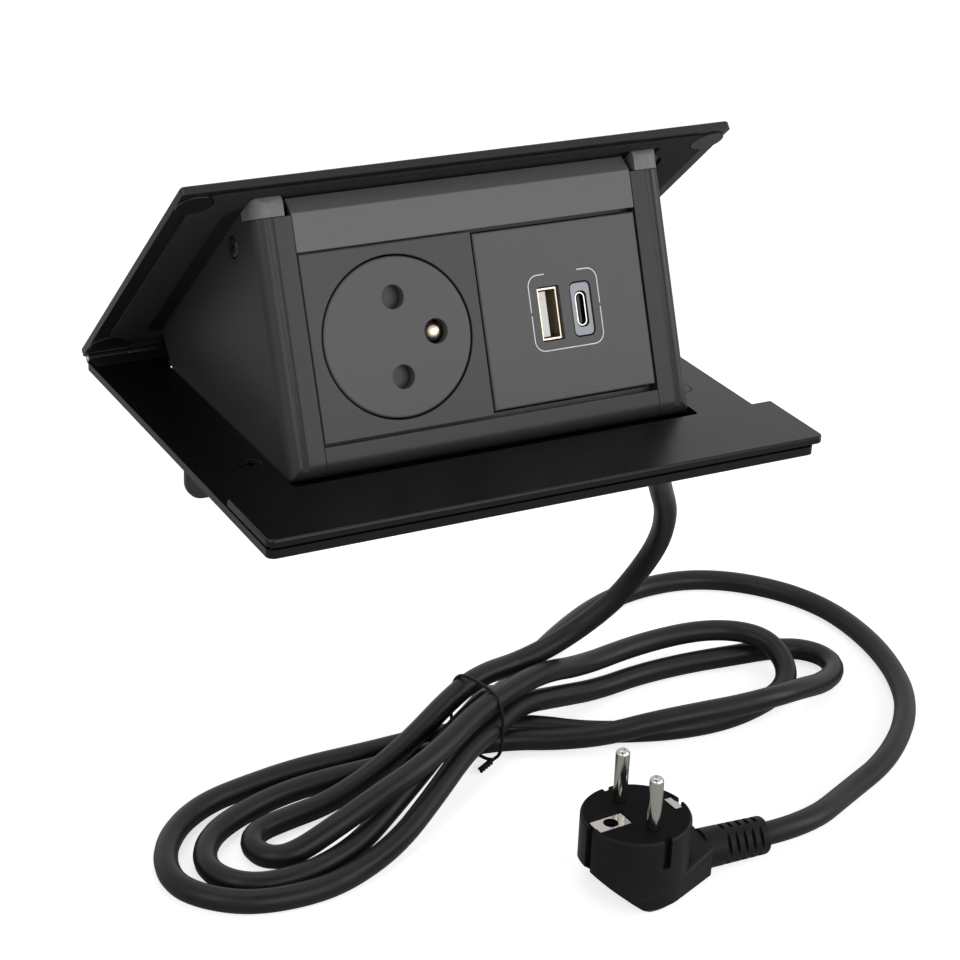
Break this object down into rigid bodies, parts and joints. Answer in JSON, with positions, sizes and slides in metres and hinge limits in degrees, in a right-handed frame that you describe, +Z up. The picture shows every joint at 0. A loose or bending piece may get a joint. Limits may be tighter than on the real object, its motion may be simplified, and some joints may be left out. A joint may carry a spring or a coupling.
{
  "type": "pop up desk socket",
  "caption": "Flip-up desk power unit: a hinged lid carries a block with a mains socket and a USB charger, folds down flush, on a mains lead with an angled plug.",
  "frame": {"origin": "middle of the base plate's depth and of its cut-out's width, on the desk top; the plate lies on z = 0 and the block hangs below it when shut", "axes": "+X along the hinge to the right, +Y towards the hinge at the rear, +Z up"},
  "size_m": [0.355, 0.3044, 0.2842],
  "materials": {
    "black_paint": "satin black powder coat",
    "zinc_steel": "bright zinc plate",
    "dark_steel": "blackened steel",
    "black_plastic": "fine textured black plastic",
    "cheek_plastic": "satin black plastic",
    "grey_plastic": "textured dark grey plastic",
    "bar_coat": "satin grey anodised look",
    "foam": "dark foam",
    "nickel": "bright nickel plate",
    "brass": "plain brass",
    "white_plastic": "white plastic",
    "board_green": "green circuit board",
    "cord_sheath": "satin black sheath",
    "plug_plastic": "moulded black",
    "brown_core": "brown insulation",
    "blue_core": "blue insulation",
    "green_core": "green and yellow insulation"
  },
  "bodies": {
    "root": {"base_plate": "black_paint", "front_strip": "black_paint", "strip_tape": "foam", "fixed_leaf": "dark_steel", "hinge_pin": "zinc_steel", "leaf_rivets": "dark_steel", "fixing_screws": "dark_steel", "rear_bracket": "dark_steel", "spring_rod": "dark_steel", "lift_springs": "zinc_steel", "cord_saddle": "dark_steel", "saddle_screws": "dark_steel", "cord_boot": "cord_sheath", "inner_lead": "cord_sheath", "cord_drop": "cord_sheath", "cord_hank": "cord_sheath", "cord_lead": "cord_sheath", "cord_tie": "cord_sheath", "plug_body": "plug_plastic", "plug_pins": "nickel", "plug_earth_clips": "nickel", "plug_relief": "plug_plastic"},
    "lid_block": {"lid_plate": "black_paint", "stop_bar": "black_paint", "disc_spring": "zinc_steel", "catch_spring": "zinc_steel", "cheek_screws": "zinc_steel", "moving_leaf": "dark_steel", "leaf_studs": "dark_steel", "tie_bar": "dark_steel", "socket_cover": "black_plastic", "usb_cover": "black_plastic", "module_frame": "black_plastic", "bottom_cover": "black_plastic", "catch_body": "black_plastic", "socket_body": "black_plastic", "usb_housing": "black_plastic", "left_cheek": "cheek_plastic", "right_cheek": "cheek_plastic", "left_cap": "grey_plastic", "right_cap": "grey_plastic", "usb_c_insert": "grey_plastic", "top_bar": "bar_coat", "lid_gasket": "foam", "lid_bumpers": "foam", "usb_a_shell": "nickel", "usb_c_shell": "nickel", "earth_pin": "nickel", "pin_contacts": "brass", "usb_a_tongue": "white_plastic", "usb_c_tongue": "white_plastic", "usb_transformer": "white_plastic", "usb_board": "board_green", "line_wire": "brown_core", "neutral_wire": "blue_core", "earth_wire": "green_core"},
    "disc": {"socket_disc": "black_plastic"},
    "shutter": {"shutter": "black_plastic"},
    "bolt": {"catch_bolt": "black_plastic"}
  },
  "joints": [
    {"name": "lid_hinge", "type": "hinge", "parent": "root", "child": "lid_block", "pos_m": [0, 0.0617, 0.0016], "axis": [1, 0, 0], "range_deg": [0, 42.15], "deforming": ["lift_springs", "inner_lead"]},
    {"name": "disc_slide", "type": "slide", "parent": "lid_block", "child": "disc", "axis": [0, 0.9301, -0.3673], "range_m": [0, 0.0115], "stiffness_N_per_m": 400, "springref_m": -0.002, "deforming": ["disc_spring"]},
    {"name": "shutter_slide", "type": "slide", "parent": "disc", "child": "shutter", "axis": [-1, 0, 0], "range_m": [0, 0.0066], "stiffness_N_per_m": 60, "springref_m": -0.002},
    {"name": "catch_slide", "type": "slide", "parent": "lid_block", "child": "bolt", "axis": [1, 0, 0], "range_m": [0, 0.0024]}
  ]
}
